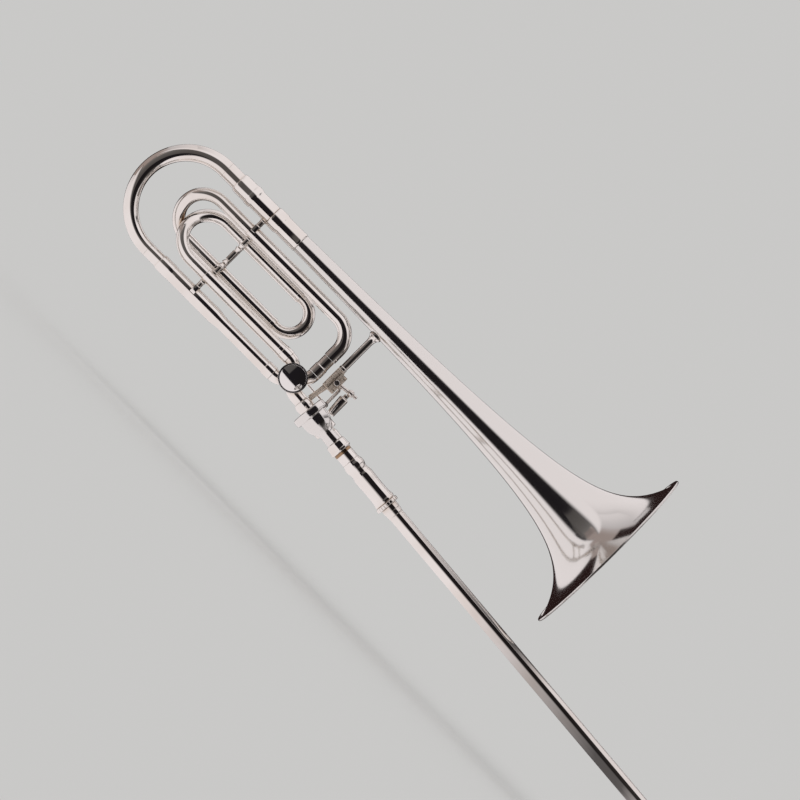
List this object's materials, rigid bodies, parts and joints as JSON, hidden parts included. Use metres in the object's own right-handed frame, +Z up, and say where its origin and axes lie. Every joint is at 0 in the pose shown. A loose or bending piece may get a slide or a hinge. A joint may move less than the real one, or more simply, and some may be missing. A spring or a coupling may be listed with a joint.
{
  "type": "tenor trombone",
  "caption": "Tenor trombone with an F attachment in a closed wrap: flared bell, rotary valve with thumb lever, tuning slides and a hand slide.",
  "frame": {"origin": "middle of the hand slide's inner brace, where the left hand grips", "axes": "+X forward to the bell mouth along the bell section, +Y to the player's left, +Z up; the hand slide runs forward and 4.85 degrees below +X"},
  "size_m": [1.2196, 0.2182, 0.3216],
  "materials": {
    "silver_plate": "polished silver plate",
    "raw_brass": "polished brass",
    "steel": "bright steel",
    "cork": "cut cork",
    "rubber": "matt rubber"
  },
  "bodies": {
    "bell_and_inner_slide": {"bell_flare": "silver_plate", "bell_stem": "silver_plate", "bell_rim_wire": "raw_brass", "bell_tail_ferrule": "silver_plate", "upper_slide_receiver": "silver_plate", "lower_slide_receiver": "silver_plate", "valve_casing": "silver_plate", "rotor_bearing_plate": "silver_plate", "valve_cap": "silver_plate", "stop_plate": "silver_plate", "stop_cork_rest": "cork", "stop_cork_engaged": "cork", "f_leg_front_lower": "silver_plate", "f_crook_front": "silver_plate", "f_leg_back_upper": "silver_plate", "f_crook_inner": "silver_plate", "f_leg_back_lower": "silver_plate", "f_leg_front_upper": "silver_plate", "f_drop_tube": "silver_plate", "wrap_brace_upper": "silver_plate", "wrap_brace_middle": "silver_plate", "wrap_brace_lower": "silver_plate", "wrap_brace_back": "silver_plate", "hand_brace_tube": "silver_plate", "lever_bracket": "silver_plate", "lever_axle": "steel", "lever_spring": "steel", "bell_receiver": "silver_plate", "slide_tenon": "silver_plate", "mouthpiece_receiver": "silver_plate", "receiver_brass_ring": "raw_brass", "leadpipe": "raw_brass", "cork_barrel_upper": "silver_plate", "cork_barrel_lower": "silver_plate", "barrel_cork_upper": "cork", "barrel_cork_lower": "cork", "inner_brace": "silver_plate", "inner_tube_upper": "silver_plate", "inner_tube_lower": "silver_plate"},
    "tuning_slide": {"tuning_bow": "silver_plate", "tuning_leg_upper": "silver_plate", "tuning_leg_lower": "silver_plate"},
    "f_tuning_slide": {"f_slide_crook": "silver_plate"},
    "rotor": {"valve_rotor": "raw_brass", "stop_arm": "silver_plate", "stop_arm_screw": "steel"},
    "thumb_lever": {"thumb_lever": "silver_plate", "touch_piece": "silver_plate"},
    "linkage": {"linkage_rod": "silver_plate"},
    "lock_nut": {"bell_lock_nut": "silver_plate"},
    "mouthpiece": {"mouthpiece": "silver_plate"},
    "slide_lock": {"slide_lock_ring": "silver_plate"},
    "hand_slide": {"outer_tube_upper": "silver_plate", "outer_tube_lower": "silver_plate", "outer_brace": "silver_plate", "end_crook": "silver_plate", "rubber_bumper": "rubber", "water_key_spring": "steel"},
    "water_key": {"water_key_lever": "silver_plate", "water_key_pad": "cork"}
  },
  "joints": [
    {"name": "tuning_slide_pull", "type": "slide", "parent": "bell_and_inner_slide", "child": "tuning_slide", "axis": [-1, 0, 0], "range_m": [0, 0.07]},
    {"name": "f_slide_pull", "type": "slide", "parent": "bell_and_inner_slide", "child": "f_tuning_slide", "axis": [-1, 0, 0], "range_m": [0, 0.035]},
    {"name": "thumb_lever_press", "type": "hinge", "parent": "bell_and_inner_slide", "child": "thumb_lever", "pos_m": [-0.07824, 0.0605, 0.05026], "axis": [0, 1, 0], "range_deg": [0, 30], "stiffness_Nm_per_rad": 0.12, "springref_deg": -28.65},
    {"name": "rotor_turn", "type": "hinge", "parent": "bell_and_inner_slide", "child": "rotor", "pos_m": [-0.11634, 0.0445, 0.01986], "axis": [0, -1, 0], "range_deg": [0, 90]},
    {"name": "linkage_swing", "type": "hinge", "parent": "thumb_lever", "child": "linkage", "pos_m": [-0.07074, 0.0665, 0.02406], "axis": [0, 1, 0], "range_deg": [-30, 0]},
    {"name": "lock_nut_turn", "type": "hinge", "parent": "bell_and_inner_slide", "child": "lock_nut", "pos_m": [-0.05779, 0.0445, 0.0049], "axis": [0.9964, 0, -0.0845], "continuous": true},
    {"name": "mouthpiece_pull", "type": "slide", "parent": "bell_and_inner_slide", "child": "mouthpiece", "axis": [-0.9964, 0, 0.0845], "range_m": [0, 0.03]},
    {"name": "slide_lock_turn", "type": "hinge", "parent": "bell_and_inner_slide", "child": "slide_lock", "pos_m": [0.0543, -0.0445, -0.00461], "axis": [0.9964, 0, -0.0845], "range_deg": [0, 45]},
    {"name": "hand_slide_move", "type": "slide", "parent": "bell_and_inner_slide", "child": "hand_slide", "axis": [0.9964, 0, -0.0845], "range_m": [0, 0.6]},
    {"name": "water_key_press", "type": "hinge", "parent": "hand_slide", "child": "water_key", "pos_m": [0.73513, 0.0445, -0.07693], "axis": [0, 1, 0], "range_deg": [0, 16], "stiffness_Nm_per_rad": 0.03, "springref_deg": -34.38}
  ],
  "couplings": [
    {"joint": "rotor_turn", "follows": "thumb_lever_press", "ratio": 3},
    {"joint": "linkage_swing", "follows": "thumb_lever_press", "ratio": -1}
  ]
}
